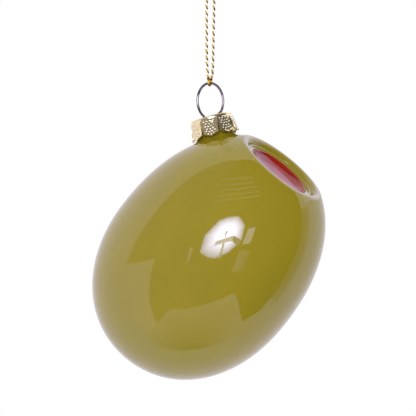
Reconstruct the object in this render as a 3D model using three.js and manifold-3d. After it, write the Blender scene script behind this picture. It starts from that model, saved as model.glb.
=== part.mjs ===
// Glass olive ornament: a blown glass olive with a red inlay in its dimple, hung by a stamped
// cap, a wire hanger and a twisted cord. Millimetres, +Z up. The origin is the top of the
// cord's loop, just under its knot, where a hook or a twig carries the ornament. The olive
// hangs in the XZ plane with its dimple on the +X side.

import * as THREE from "three";
import { mergeVertices } from "three/addons/utils/BufferGeometryUtils.js";
import Module from "manifold-3d";

// Olive: lengths run along its long axis from the widest section
const oliveDiameter = 68;
const tailLength = 41.9;
const tailFullness = 2.13; // exponent of the tail's superellipse, 2 is an ellipse
const noseReach = 47.5; // half length of the curve that the dimple cuts short
const noseFullness = 2.17;
const glassWall = 1;
const tailWall = 1.195; // the bubble's closed end is a little thicker

// Dimple: a rounded lip, a narrow ledge inside it, and a seat that holds the inlay
const lipRadius = 2.7;
const lipInnerRadius = 2.1; // the lip's round is tighter on the dimple's side of its crest
const lipCrestDiameter = 30.6;
const lipEndAngle = 165; // where the lip's round ends at the ledge, in degrees
const inlayEdgeDrop = 1.75; // from the lip's crest to the inlay's rim
const inlayHeight = 3.65;

// The inlay's dish from its middle over its rim: radius, and height from the rim's top
const inlayDish = [
  [0, -2.85],
  [3.2, -2.7],
  [6.3, -2.25],
  [8.3, -1.8],
  [9.3, -1.4],
  [9.9, -1],
  [10.3, -0.55],
  [10.6, -0.12],
  [10.8, 0],
  [11.1, -0.3],
];

// Neck: a short glass tube that leaves the shoulder at a slant
const neckAlong = 34.8; // along the long axis, where the neck's axis meets the skin
const neckAngle = 57.2; // between the neck and the olive's long axis, in degrees
const neckDiameter = 11.4;
const neckBore = 9.2;
const flareDiameter = 16.4;
const flareDrop = 1.8; // how far the flare runs into the shoulder
const flareRise = 2;

// Cap: thin stamped metal with petals round its skirt
const capTopDiameter = 14.2;
const capSkirtDiameter = 15.8;
const capHeight = 6.7;
const capSheet = 0.35;
const capEdgeRadius = 0.6;
const capLift = 0.2; // the petals' tips above the foot of the neck
const petalCount = 8;
const petalTurn = 13; // from the ring's face to the first slit, in degrees
const petalTip = 0.9;
const petalTipWidth = 1.8;
const slitHeight = 4.2;
const slitWidth = 0.9;
const slitTopWidth = 0.2;
const wireHole = 1.9;

// Hanger: one wire bent to an oval ring with two legs that spring open inside the neck
const wireDiameter = 0.8;
const ringWidth = 8.6;
const ringLength = 12.2;
const ringHeight = 11.6; // from the cap's top to the middle of the wire at the ring's top
const ringTilt = 13.2; // from the cap's axis, in degrees
const ringTurn = 21; // from the olive's own plane, about the cap's axis, in degrees
const ringFoot = 0.7; // the ring's ends turn down to the holes this much above the cap
const legSpacing = 3.8;
const legStraight = 6.5;
const legLength = 12.5;
const legSplay = 7.2; // between the legs' ends

// Cord: one length of twisted cord through the ring, its two ends tied above
const cordDiameter = 0.9;
const loopDrop = 34; // from the origin to the middle of the wire at the ring's top
const bightRadius = 1.9;
const knotDiameter = 3.4;
const knotHeight = 3.8;
const knotFullness = 0.7; // below 1 the knot is barrel shaped
const tailReaches = [6, 4.5];
const tailSpread = 3.9; // how far a tail's end leans out
const tailTurn = 1; // and how far it leans forwards or backwards

// Pose: how the olive hangs
const oliveLift = 49.6; // the long axis above level, in degrees

// Fit
const clearance = 0.3;

// Weight, in grams for each cubic centimetre, which settles how the ornament hangs
const glassDensity = 2.5;
const inlayDensity = 1.2;
const brassDensity = 8.5;
const steelDensity = 7.85;

// Facets
const roundSteps = 40;
const outsideSteps = { tail: 18, nose: 14, lip: 4 };
const insideSteps = { tail: 10, nose: 8, lip: 3 };
const smallRoundSteps = 32;
const wireSides = 8;
const wireSteps = 64;
const ringSteps = 32;
const cordSteps = 66;
const flareSteps = 6;
const facetsPerPetal = 6;
const edgeSteps = 4;
const knotSteps = 10;
const weldDistance = 1e-4;

const radians = THREE.MathUtils.degToRad;
const wasm = await Module();
wasm.setup();

// A closed solid for joining and cutting, from a geometry whose corners are welded
function solid(geometry) {
  const bare = geometry.clone();
  bare.deleteAttribute("normal");
  bare.deleteAttribute("uv");
  const welded = mergeVertices(bare, weldDistance);
  const corners = welded.index.array;
  const kept = [];
  for (let i = 0; i < corners.length; i += 3) {
    const [a, b, c] = [corners[i], corners[i + 1], corners[i + 2]];
    if (a !== b && b !== c && c !== a) kept.push(a, b, c);
  }
  const vertProperties = welded.attributes.position.array;
  const triVerts = new Uint32Array(kept);
  return new wasm.Manifold(new wasm.Mesh({ numProp: 3, vertProperties, triVerts }));
}

function geometryOf(body) {
  const mesh = body.getMesh();
  const geometry = new THREE.BufferGeometry();
  geometry.setAttribute("position", new THREE.BufferAttribute(mesh.vertProperties, 3));
  geometry.setIndex(new THREE.BufferAttribute(mesh.triVerts, 1));
  geometry.computeVertexNormals();
  return geometry;
}

function piece(name, body, finish, density = 0) {
  const mesh = new THREE.Mesh(geometryOf(body), new THREE.MeshStandardMaterial(finish));
  mesh.name = name;
  mesh.userData.density = density;
  return mesh;
}

// The centre of mass of the meshes in a group, from the signed pyramids under their triangles
function centreOfMass(group) {
  const [centre, corners] = [new THREE.Vector3(), [0, 1, 2].map(() => new THREE.Vector3())];
  let mass = 0;
  group.updateMatrixWorld(true);
  group.traverse((part) => {
    if (!part.isMesh) return;
    const { index, attributes } = part.geometry;
    for (let i = 0; i < index.count; i += 3) {
      corners.forEach((corner, j) => {
        corner.fromBufferAttribute(attributes.position, index.getX(i + j));
        corner.applyMatrix4(part.matrixWorld);
      });
      const [a, b, c] = corners;
      const weight = (part.userData.density * a.dot(b.clone().cross(c))) / 6;
      mass += weight;
      for (const corner of corners) centre.addScaledVector(corner, weight / 4);
    }
  });
  return centre.divideScalar(mass);
}

// A turned solid about Y from points of radius and height
function turned(points, steps) {
  return solid(new THREE.LatheGeometry(points, steps));
}

// A round rod along Y from one height to another
function rod(diameter, low, high, steps) {
  const geometry = new THREE.CylinderGeometry(diameter / 2, diameter / 2, high - low, steps);
  geometry.translate(0, (low + high) / 2, 0);
  return solid(geometry);
}

// A tube of a round section along a curve
function tube(curve, diameter, sides, steps) {
  const section = new THREE.Shape();
  for (let i = 0; i < sides; i += 1) {
    const angle = (2 * Math.PI * i) / sides;
    const [x, y] = [(diameter / 2) * Math.cos(angle), (diameter / 2) * Math.sin(angle)];
    if (i === 0) section.moveTo(x, y);
    else section.lineTo(x, y);
  }
  section.closePath();
  return solid(new THREE.ExtrudeGeometry(section, { steps, extrudePath: curve }));
}

function moved(body, matrix) {
  return body.transform(matrix.elements);
}

// The olive's skin: a point and its outward normal, as radius and length along the axis.
// The turn runs from -90 at the tail's tip, past 0 at the widest section, to the nose.
function skin(turn) {
  const [half, power] = turn < 0 ? [tailLength, tailFullness] : [noseReach, noseFullness];
  const widest = oliveDiameter / 2;
  const [side, ahead] = [Math.cos(turn), Math.sin(turn)];
  const sign = Math.sign(ahead);
  const point = new THREE.Vector2(
    widest * Math.max(side, 0) ** (2 / power),
    sign * half * Math.abs(ahead) ** (2 / power),
  );
  const normal = new THREE.Vector2(
    point.x ** (power - 1) / widest ** power,
    (sign * Math.abs(point.y) ** (power - 1)) / half ** power,
  );
  return { point, normal: normal.normalize() };
}

function skinAtDepth(turn, depth) {
  const { point, normal } = skin(turn);
  return point.addScaledVector(normal, -depth);
}

// Where the nose runs into the lip: the lip's circle touches the skin there
function lipTurn() {
  let [low, high] = [0, Math.PI / 2];
  for (let i = 0; i < 50; i += 1) {
    const middle = (low + high) / 2;
    if (skinAtDepth(middle, lipRadius).x > lipCrestDiameter / 2) low = middle;
    else high = middle;
  }
  return (low + high) / 2;
}

const noseEnd = lipTurn();
const lipCentre = skinAtDepth(noseEnd, lipRadius);
const lipStart = skin(noseEnd).normal.angle();
const lipCrest = lipCentre.y + lipRadius;
const lipInnerCentre = new THREE.Vector2(lipCentre.x, lipCrest - lipInnerRadius);
const inlayEdge = lipCrest - inlayEdgeDrop;
const inlayRadius = inlayDish[inlayDish.length - 1][0];
const seatFloor = inlayEdge - inlayHeight - clearance;
const seatRadius = inlayRadius + clearance;

function skinLine(depth, tailDepth, steps) {
  const points = [];
  for (let i = 0; i <= steps.tail; i += 1) {
    const share = i / steps.tail;
    const here = tailDepth + (depth - tailDepth) * share;
    points.push(skinAtDepth((Math.PI / 2) * (share - 1), here));
  }
  for (let i = 1; i <= steps.nose; i += 1) {
    points.push(skinAtDepth((noseEnd * i) / steps.nose, depth));
  }
  return points;
}

function arc(centre, radius, start, end, steps) {
  const points = [];
  for (let i = 1; i <= steps; i += 1) {
    const angle = start + ((end - start) * i) / steps;
    points.push(
      new THREE.Vector2(
        centre.x + radius * Math.cos(angle),
        centre.y + radius * Math.sin(angle),
      ),
    );
  }
  return points;
}

// The lip's round from the skin over its crest to an angle inside the dimple
function lipArc(depth, end, steps) {
  return [
    ...arc(lipCentre, lipRadius - depth, lipStart, Math.PI / 2, steps),
    ...arc(lipInnerCentre, lipInnerRadius - depth, Math.PI / 2, end, steps),
  ];
}

function oliveOutside() {
  return turned(
    [
      ...skinLine(0, 0, outsideSteps),
      ...lipArc(0, radians(lipEndAngle), outsideSteps.lip),
      new THREE.Vector2(seatRadius, inlayEdge),
      new THREE.Vector2(seatRadius, seatFloor),
      new THREE.Vector2(0, seatFloor),
    ],
    roundSteps,
  );
}

function oliveInside() {
  const under = seatFloor - glassWall;
  return turned(
    [
      ...skinLine(glassWall, tailWall, insideSteps),
      ...lipArc(glassWall, Math.PI, insideSteps.lip),
      new THREE.Vector2(seatRadius + glassWall, under),
      new THREE.Vector2(0, under),
    ],
    roundSteps,
  );
}

// The foot of the neck's axis on the skin, and the neck's frame in the olive's own frame,
// where Y is the long axis and X points from it to the neck
const neckTurn = Math.asin((neckAlong / noseReach) ** (noseFullness / 2));
const neckFoot = skin(neckTurn).point;
const neckFrame = new THREE.Matrix4()
  .makeRotationZ(-radians(neckAngle))
  .setPosition(neckFoot.x, neckFoot.y, 0);
const capTop = capLift + capHeight;
const neckTop = capTop - capSheet - clearance;

function neckOutside() {
  const flare = new THREE.QuadraticBezierCurve(
    new THREE.Vector2(flareDiameter / 2, -flareDrop),
    new THREE.Vector2(neckDiameter / 2, -flareDrop / 2),
    new THREE.Vector2(neckDiameter / 2, flareRise),
  );
  const roundOff = (neckDiameter - neckBore) / 4;
  return turned(
    [
      new THREE.Vector2(0, -flareDrop - glassWall / 2),
      new THREE.Vector2(flareDiameter / 2, -flareDrop - glassWall / 2),
      ...flare.getPoints(flareSteps),
      new THREE.Vector2(neckDiameter / 2, neckTop - roundOff),
      new THREE.Vector2(neckDiameter / 2 - roundOff, neckTop),
      new THREE.Vector2(0, neckTop),
    ],
    smallRoundSteps,
  );
}

// The blown olive and its neck are one hollow piece of glass, open at the neck's mouth. They are
// two nodes, which meet on the olive's skin, so that the neck collides as an open tube.
function glass() {
  const reach = flareDiameter / 2;
  const bore = moved(rod(neckBore, -reach, neckTop + glassWall, smallRoundSteps), neckFrame);
  const outside = oliveOutside();
  const shell = outside.subtract(oliveInside()).subtract(bore);
  const neck = moved(neckOutside(), neckFrame).subtract(outside).subtract(bore);
  const finish = { color: 0x8f8324, roughness: 0.08, metalness: 0 };
  return [
    piece("glass_body", shell, finish, glassDensity),
    piece("glass_neck", neck, finish, glassDensity),
  ];
}

function pimentoInlay() {
  const underside = inlayEdge - inlayHeight;
  const dish = inlayDish.map(([radius, height]) => new THREE.Vector2(radius, inlayEdge + height));
  const points = [
    new THREE.Vector2(0, underside),
    new THREE.Vector2(inlayRadius, underside),
    ...dish.reverse(),
  ];
  const finish = { color: 0xa81206, roughness: 0.1, metalness: 0 };
  return piece("pimento_inlay", turned(points, roundSteps), finish, inlayDensity);
}

function capShell() {
  const [top, skirt] = [capTopDiameter / 2, capSkirtDiameter / 2];
  const edge = [];
  for (let i = 0; i <= edgeSteps; i += 1) {
    const angle = (Math.PI / 2) * (i / edgeSteps);
    edge.push(
      new THREE.Vector2(
        top - capEdgeRadius * (1 - Math.cos(angle)),
        capTop - capEdgeRadius * (1 - Math.sin(angle)),
      ),
    );
  }
  return turned(
    [
      new THREE.Vector2(0, capTop - capSheet),
      new THREE.Vector2(top - capEdgeRadius, capTop - capSheet),
      new THREE.Vector2(top - capSheet, capTop - capEdgeRadius),
      new THREE.Vector2(skirt - capSheet, capLift),
      new THREE.Vector2(skirt, capLift),
      ...edge,
      new THREE.Vector2(0, capTop),
    ],
    petalCount * facetsPerPetal,
  );
}

// The gap between two petals: a narrow slit that opens to the petals' lower edges
function petalGap() {
  const tip = (capSkirtDiameter / 2) * Math.tan(Math.PI / petalCount);
  const corner = capLift + petalTip;
  const outline = new THREE.Shape([
    new THREE.Vector2(-tip, capLift - petalTip),
    new THREE.Vector2(tip, capLift - petalTip),
    new THREE.Vector2(tip, capLift),
    new THREE.Vector2(tip - petalTipWidth / 2, corner),
    new THREE.Vector2(slitWidth / 2, corner),
    new THREE.Vector2(slitTopWidth / 2, capLift + slitHeight),
    new THREE.Vector2(-slitTopWidth / 2, capLift + slitHeight),
    new THREE.Vector2(-slitWidth / 2, corner),
    new THREE.Vector2(-tip + petalTipWidth / 2, corner),
    new THREE.Vector2(-tip, capLift),
  ]);
  const depth = capSkirtDiameter;
  return solid(new THREE.ExtrudeGeometry(outline, { depth, bevelEnabled: false }));
}

// Made about Y with the ring's face along +Z, as the neck's frame has it
function cap() {
  let body = capShell();
  const gap = petalGap();
  for (let i = 0; i < petalCount; i += 1) {
    const angle = radians(petalTurn) + (2 * Math.PI * i) / petalCount;
    body = body.subtract(moved(gap, new THREE.Matrix4().makeRotationY(angle)));
  }
  const hole = rod(wireHole, capTop - 2 * capSheet, capTop + capSheet, smallRoundSteps / 2);
  for (const side of [-1, 1]) {
    body = body.subtract(hole.translate([(side * legSpacing) / 2, 0, 0]));
  }
  const finish = { color: 0xd8c48a, roughness: 0.25, metalness: 1 };
  return piece("cap", body, finish, brassDensity);
}

// The hanger's wire in the cap's frame: up one leg, round the oval ring and down the other
function ringPoint(angle) {
  const x = (ringWidth / 2) * Math.sin(angle);
  const y = ringHeight - (ringLength / 2) * (1 - Math.cos(angle));
  const tilt = radians(ringTilt);
  return new THREE.Vector3(
    x * Math.cos(tilt) + y * Math.sin(tilt),
    capTop + y * Math.cos(tilt) - x * Math.sin(tilt),
    0,
  );
}

function legPoints(side) {
  const [straight, end] = [capTop - legStraight, capTop - legLength];
  const [inner, outer] = [(side * legSpacing) / 2, (side * legSplay) / 2];
  return [
    new THREE.Vector3(outer, end, 0),
    new THREE.Vector3((inner + 2 * outer) / 3, (straight + 2 * end) / 3, 0),
    new THREE.Vector3((3 * inner + outer) / 4, (2 * straight + end) / 3, 0),
    new THREE.Vector3(inner, straight, 0),
    new THREE.Vector3(inner, (straight + capTop) / 2, 0),
    new THREE.Vector3(inner, capTop - capSheet, 0),
  ];
}

function wireHanger() {
  const ring = [];
  for (let i = 1; i < ringSteps; i += 1) {
    const point = ringPoint(Math.PI * ((2 * i) / ringSteps - 1));
    if (point.y > capTop + ringFoot) ring.push(point);
  }
  const path = new THREE.CatmullRomCurve3([
    ...legPoints(-1),
    ...ring,
    ...legPoints(1).reverse(),
  ]);
  const finish = { color: 0x8d8a88, roughness: 0.25, metalness: 1 };
  const wire = tube(path, wireDiameter, wireSides, wireSteps);
  return piece("wire_hanger", wire, finish, steelDensity);
}

// The cord's route from one side of the knot, under the ring's wire and back up. Each point is
// how far it lies to the right and to the front as the ring faces, and its height.
const bightLow = -loopDrop - wireDiameter / 2 - cordDiameter / 2 - clearance;
const bightCentre = bightLow + bightRadius;
const cordRoute = [
  [-0.75, 0.3, 0],
  [-0.9, 0.45, -2.5],
  [-1.04, 0.7, -6],
  [-1.08, 0.95, -11],
  [-1.06, 1.2, -16],
  [-1.04, 1.45, -21],
  [-1, 1.65, -25.5],
  [-0.85, 1.8, -29],
  [-0.62, 1.9, -31.5],
  [-0.4, bightRadius, bightCentre],
  [-0.22, bightRadius * Math.SQRT1_2, bightCentre - bightRadius * Math.SQRT1_2],
  [0, 0, bightLow],
  [0.22, -bightRadius * Math.SQRT1_2, bightCentre - bightRadius * Math.SQRT1_2],
  [0.45, -bightRadius, bightCentre],
  [0.75, -1.9, -31.5],
  [0.98, -1.8, -29],
  [1.08, -1.65, -25.5],
  [1.16, -1.45, -21],
  [1.27, -1.2, -16],
  [1.38, -0.95, -11],
  [1.42, -0.7, -6],
  [1.15, -0.45, -2.5],
  [0.8, -0.3, 0],
];

const cordFinish = { color: 0xb8952f, roughness: 0.35, metalness: 1 };

function cord() {
  const points = cordRoute.map(([right, front, up]) => new THREE.Vector3(right, -front, up));
  const path = new THREE.CatmullRomCurve3(points);
  return piece("cord", tube(path, cordDiameter, wireSides, cordSteps), cordFinish);
}

// The overhand knot that joins the cord's ends, with its two short tails
function cordKnot() {
  const low = clearance;
  const half = knotDiameter / 2;
  const lump = [];
  for (let i = 0; i <= knotSteps; i += 1) {
    const angle = Math.PI * (i / knotSteps);
    lump.push(
      new THREE.Vector2(
        half * Math.sin(angle) ** knotFullness,
        low + (knotHeight * (1 - Math.cos(angle))) / 2,
      ),
    );
  }
  let knot = turned(lump, smallRoundSteps / 2).rotate([90, 0, 0]);
  const high = low + knotHeight;
  tailReaches.forEach((reach, i) => {
    const side = 2 * i - 1;
    const tail = new THREE.CatmullRomCurve3([
      new THREE.Vector3((side * cordDiameter) / 2, 0, (low + high) / 2),
      new THREE.Vector3(side * cordDiameter, 0, high),
      new THREE.Vector3((side * tailSpread) / 2, (side * tailTurn) / 2, high + reach / 2),
      new THREE.Vector3(side * tailSpread, side * tailTurn, high + reach),
    ]);
    knot = knot.add(tube(tail, cordDiameter, wireSides, smallRoundSteps / 4));
  });
  return piece("cord_knot", knot, cordFinish);
}

// Directions in the part's frame: the long axis, and the neck's axis, both in the XZ plane
const longAxis = new THREE.Vector3(Math.cos(radians(oliveLift)), 0, Math.sin(radians(oliveLift)));
const acrossAxis = new THREE.Vector3(-longAxis.z, 0, longAxis.x);
const sideways = new THREE.Vector3(0, 1, 0);
const oliveFrame = new THREE.Matrix4().makeBasis(acrossAxis, longAxis, sideways);
const neckAxis = new THREE.Vector3(0, 1, 0).transformDirection(neckFrame);
neckAxis.transformDirection(oliveFrame);

// The ring's face is turned about the neck's axis from the olive's own plane
const ringFace = new THREE.Vector3(0, -1, 0).applyAxisAngle(neckAxis, radians(ringTurn));
const ringRight = new THREE.Vector3().crossVectors(neckAxis, ringFace);

const capGroup = new THREE.Group();
capGroup.quaternion.setFromRotationMatrix(
  new THREE.Matrix4().makeBasis(ringRight, neckAxis, ringFace),
);
capGroup.position.copy(ringPoint(0)).applyQuaternion(capGroup.quaternion).negate();
capGroup.add(wireHanger(), cap());

const oliveGroup = new THREE.Group();
oliveGroup.quaternion.setFromRotationMatrix(oliveFrame);
oliveGroup.position
  .copy(capGroup.position)
  .addScaledVector(acrossAxis, -neckFoot.x)
  .addScaledVector(longAxis, -neckFoot.y);
oliveGroup.add(...glass(), pimentoInlay());

// What hangs in the cord turns about the ring's top until its weight is plumb below it
const hangingGroup = new THREE.Group();
hangingGroup.add(oliveGroup, capGroup);
hangingGroup.quaternion.setFromUnitVectors(
  centreOfMass(hangingGroup).normalize(),
  new THREE.Vector3(0, 0, -1),
);
hangingGroup.position.z = -loopDrop;

const cordGroup = new THREE.Group();
cordGroup.rotation.z = Math.atan2(ringRight.y, ringRight.x);
cordGroup.add(cord(), cordKnot());

const ornament = new THREE.Group();
ornament.add(hangingGroup, cordGroup);

export default ornament;
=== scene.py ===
# %% [markdown]
# A blown glass olive ornament.
# The real ornament is one bubble of blown glass, lacquered olive green, with a red inlay in the
# dimple where a pimento would sit. A stamped metal crown cap closes its neck, a spring wire
# hangs it, and a two-ply metallic cord carries the wire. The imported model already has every
# size and joint, so this lesson only dresses it: each piece is made again with finer forms and
# its own finish, in the same place.

import math

import bmesh
import bpy
from mathutils import Matrix, Vector


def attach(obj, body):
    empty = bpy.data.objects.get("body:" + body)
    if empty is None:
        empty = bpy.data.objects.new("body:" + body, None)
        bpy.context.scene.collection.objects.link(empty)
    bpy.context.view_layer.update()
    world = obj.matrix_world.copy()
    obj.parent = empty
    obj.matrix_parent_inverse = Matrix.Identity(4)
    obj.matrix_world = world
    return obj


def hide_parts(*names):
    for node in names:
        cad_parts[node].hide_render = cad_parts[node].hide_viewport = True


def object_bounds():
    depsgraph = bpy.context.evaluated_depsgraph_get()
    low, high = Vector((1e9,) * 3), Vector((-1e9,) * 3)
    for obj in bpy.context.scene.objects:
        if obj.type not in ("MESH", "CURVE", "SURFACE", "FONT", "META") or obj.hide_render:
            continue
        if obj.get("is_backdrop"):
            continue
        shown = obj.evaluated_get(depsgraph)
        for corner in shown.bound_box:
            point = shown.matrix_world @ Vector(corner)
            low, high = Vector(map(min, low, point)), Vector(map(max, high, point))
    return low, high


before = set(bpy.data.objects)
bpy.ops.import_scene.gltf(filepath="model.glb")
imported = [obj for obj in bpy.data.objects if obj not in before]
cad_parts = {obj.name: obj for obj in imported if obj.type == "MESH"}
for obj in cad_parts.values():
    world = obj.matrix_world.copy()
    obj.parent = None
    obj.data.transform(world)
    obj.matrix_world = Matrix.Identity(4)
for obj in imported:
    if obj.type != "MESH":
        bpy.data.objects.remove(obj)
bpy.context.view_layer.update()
scene = bpy.context.scene
MM = 0.001


def linked(name, data):
    """A new object in the scene."""
    made = bpy.data.objects.new(name, data)
    scene.collection.objects.link(made)
    return made


# %% [markdown]
# The camera stands level with the ornament, a little to the right of its front, and far off, as
# a product photographer's long lens does. A long lens keeps the olive's outline true.

# %% Camera
VIEW_TURN = math.radians(22)
VIEW_DISTANCE = 1.5
VIEW_WIDTH = 139.8 * MM  # what the picture spans at the ornament
SENSOR = 36
to_right = Vector((math.cos(VIEW_TURN), math.sin(VIEW_TURN), 0))
to_camera = Vector((math.sin(VIEW_TURN), -math.cos(VIEW_TURN), 0))
to_top = Vector((0, 0, 1))
looked_at = to_right * (-0.58 * MM) + to_top * (-75.98 * MM)

camera = linked("camera", bpy.data.cameras.new("camera"))
camera.data.sensor_width = SENSOR
camera.data.lens = SENSOR * VIEW_DISTANCE / VIEW_WIDTH
camera.location = looked_at + to_camera * VIEW_DISTANCE
camera.rotation_euler = (-to_camera).to_track_quat("-Z", "Y").to_euler()
scene.camera = camera
scene.view_settings.view_transform = "Standard"
print("camera", [round(x, 3) for x in camera.location], "lens", round(camera.data.lens, 1))

# %% [markdown]
# Finishes and repeated shapes are both node trees. Written as Python sums they stay readable,
# so one small class wraps a socket and turns each sum into a Math node, and one method adds any
# other node from its type, its settings and what feeds its sockets.


# %% A socket that can be used in sums
class Wire:
    def __init__(self, maker, socket):
        self.maker, self.socket = maker, socket

    def math(self, operation, *values):
        return self.maker.node("ShaderNodeMath", {"operation": operation}, *values)

    def __add__(self, other):
        return self.math("ADD", self, other)

    def __sub__(self, other):
        return self.math("SUBTRACT", self, other)

    def __rsub__(self, other):
        return self.math("SUBTRACT", other, self)

    def __mul__(self, other):
        return self.math("MULTIPLY", self, other)

    def __truediv__(self, other):
        return self.math("DIVIDE", self, other)

    def __mod__(self, other):
        return self.math("FLOORED_MODULO", self, other)


class Maker:
    """Adds nodes to one tree, of a material, the world or Geometry Nodes."""

    def __init__(self, tree):
        self.tree = tree

    def node(self, kind, settings=None, *values, out=0, **named):
        made = self.tree.nodes.new(kind)
        for name, value in (settings or {}).items():
            setattr(made, name, value)
        for key, value in [*enumerate(values), *named.items()]:
            socket = made.inputs[key if isinstance(key, int) else key.replace("_", " ")]
            if isinstance(value, Wire):
                self.tree.links.new(value.socket, socket)
            elif value is not None:
                socket.default_value = value
        return Wire(self, made.outputs[out]) if made.outputs else made

    def other(self, wire, name):
        return Wire(self, wire.socket.node.outputs[name])

    def mix(self, factor, a, b):
        """A colour between a and b."""
        mixed = self.node("ShaderNodeMix", {"data_type": "RGBA"}, factor, out=2)
        for index, colour in ((6, a), (7, b)):
            socket = mixed.socket.node.inputs[index]
            if isinstance(colour, Wire):
                self.tree.links.new(colour.socket, socket)
            else:
                socket.default_value = colour
        return mixed

    def step(self, value, low, high):
        """0 below low, 1 above high, and smooth between."""
        settings = {"interpolation_type": "SMOOTHSTEP"}
        return self.node("ShaderNodeMapRange", settings, value, low, high, 0.0, 1.0)

    def noise(self, place, scale, detail, **more):
        return self.node("ShaderNodeTexNoise", None, place, Scale=scale, Detail=detail, **more)

    def bump(self, height, strength, depth):
        settings = {"Strength": strength, "Distance": depth, "Height": height}
        return self.node("ShaderNodeBump", None, **settings)

    def height(self, place):
        """How high a place lies."""
        return self.node("ShaderNodeSeparateXYZ", None, place, out="Z")


def colour(red, green, blue):
    """A linear colour from the 0 to 255 numbers that a screen shows."""
    shares = [x / 255 for x in (red, green, blue)]
    return (*[x / 12.92 if x <= 0.04045 else ((x + 0.055) / 1.055) ** 2.4 for x in shares], 1)


print("makers ready")


# %% [markdown]
# Every finish is a Principled shader with its own fixed gloss. Only its colour, roughness,
# metallic value and bump may change over the surface, since those are what an export can bake.


# %% Start a finish
def empty_material(name):
    material = bpy.data.materials.new(name)
    material.use_nodes = True
    material.node_tree.nodes.clear()
    return material, Maker(material.node_tree)


def finish(name):
    material, maker = empty_material(name)
    return material, maker, maker.node("ShaderNodeTexCoord", out="Object")


def shade(maker, **sockets):
    """Ends a finish in a Principled shader."""
    shader = maker.node("ShaderNodeBsdfPrincipled", None, **sockets)
    maker.node("ShaderNodeOutputMaterial", None, shader)


print("finishes start on Object coordinates")

# %% [markdown]
# Olive lacquer. The glass is clear and the colour is a lacquer baked on it, so it is a deep
# even green-gold under a hard clear gloss. The lacquer is a little thinner and browner in soft
# clouds, and blown glass has faint swells that bend the long reflections.

# %% Olive lacquer
LACQUER_INDEX = 1.6  # glass and baked lacquer together
olive_lacquer, maker, place = finish("olive_lacquer")
cloud = maker.noise(place, 38.0, 2.0, Roughness=0.5)
speck = maker.noise(place, 900.0, 1.0)
tint = maker.mix(maker.step(cloud, 0.35, 0.7), colour(141, 126, 26), colour(146, 129, 24))
tint = maker.mix(maker.step(speck, 0.55, 0.8) * 0.25, tint, colour(138, 121, 20))
swell = maker.noise(place, 22.0, 1.0)
bump = maker.bump(swell, 0.35, 0.02 * MM)
gloss = maker.step(speck, 0.3, 0.9) * 0.02 + 0.035
shade(maker, Base_Color=tint, Roughness=gloss, IOR=LACQUER_INDEX, Normal=bump)
print("finish", olive_lacquer.name)

# %% [markdown]
# Pimento red. It is the same hard gloss over a deep red, a touch darker in soft clouds.

# %% Pimento lacquer
pimento_lacquer, maker, place = finish("pimento_lacquer")
cloud = maker.noise(place, 160.0, 3.0)
tint = maker.mix(maker.step(cloud, 0.35, 0.7), colour(152, 26, 9), colour(136, 18, 7))
bump = maker.bump(cloud, 0.3, 0.02 * MM)
gloss = maker.step(cloud, 0.3, 0.8) * 0.03 + 0.04
shade(maker, Base_Color=tint, Roughness=gloss, IOR=LACQUER_INDEX, Normal=bump)
print("finish", pimento_lacquer.name)

# %% [markdown]
# Cap metal. Thin brass sheet plated a pale gold. Stamping leaves it bright but not flat, so
# its bump is a fine orange peel and its roughness wanders.

# %% Cap metal
cap_metal, maker, place = finish("cap_metal")
peel = maker.noise(place, 1400.0, 3.0, Roughness=0.6)
wear = maker.noise(place, 420.0, 2.0)
tint = maker.mix(maker.step(wear, 0.35, 0.7), colour(240, 224, 178), colour(226, 206, 152))
bump = maker.bump(peel, 0.35, 0.02 * MM)
gloss = maker.step(wear, 0.3, 0.8) * 0.05 + 0.06
shade(maker, Base_Color=tint, Metallic=0.94, Roughness=gloss, Normal=bump)
print("finish", cap_metal.name)

# %% [markdown]
# The raised dots are painted pale and bright: a painted highlight, in place of the glints that their
# domes would catch.

# %% Dot metal
dot_painted_highlight, maker, place = finish("dot_painted_highlight")
wear = maker.noise(place, 700.0, 2.0)
# painted highlight: the dots' metal is paler than the cap's, standing for the glints on their domes
tint = maker.mix(maker.step(wear, 0.35, 0.7), colour(240, 230, 204), colour(220, 206, 170))
bump = maker.bump(wear, 0.3, 0.01 * MM)
gloss = maker.step(wear, 0.3, 0.8) * 0.05 + 0.1
shade(maker, Base_Color=tint, Metallic=0.7, Roughness=gloss, Normal=bump)
print("finish", dot_painted_highlight.name)

# %% [markdown]
# Hanger steel. Hard drawn wire keeps the dark skin of its heat treatment. The ring has a pale
# painted highlight on its two sides, a band of colour that stands for the bright reflections there.

# %% Hanger steel
hanger_steel, maker, place = finish("hanger_steel")
grain = maker.noise(place, 2600.0, 2.0)
patch = maker.noise(place, 500.0, 1.0)
tint = maker.mix(maker.step(patch, 0.35, 0.7), colour(66, 56, 54), colour(48, 40, 40))
up = maker.height(place)
# painted highlight: a pale band at the height of the ring's two sides
painted_glint = maker.step(up, -42.4 * MM, -40.6 * MM) * (1 - maker.step(up, -38.9 * MM, -37.4 * MM))
tint = maker.mix(painted_glint * 0.75, tint, colour(150, 140, 128))
bump = maker.bump(grain, 0.15, 0.005 * MM)
gloss = maker.step(grain, 0.3, 0.8) * 0.06 + 0.08
shade(maker, Base_Color=tint, Metallic=1.0, Roughness=gloss, Normal=bump)
print("finish", hanger_steel.name)
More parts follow.
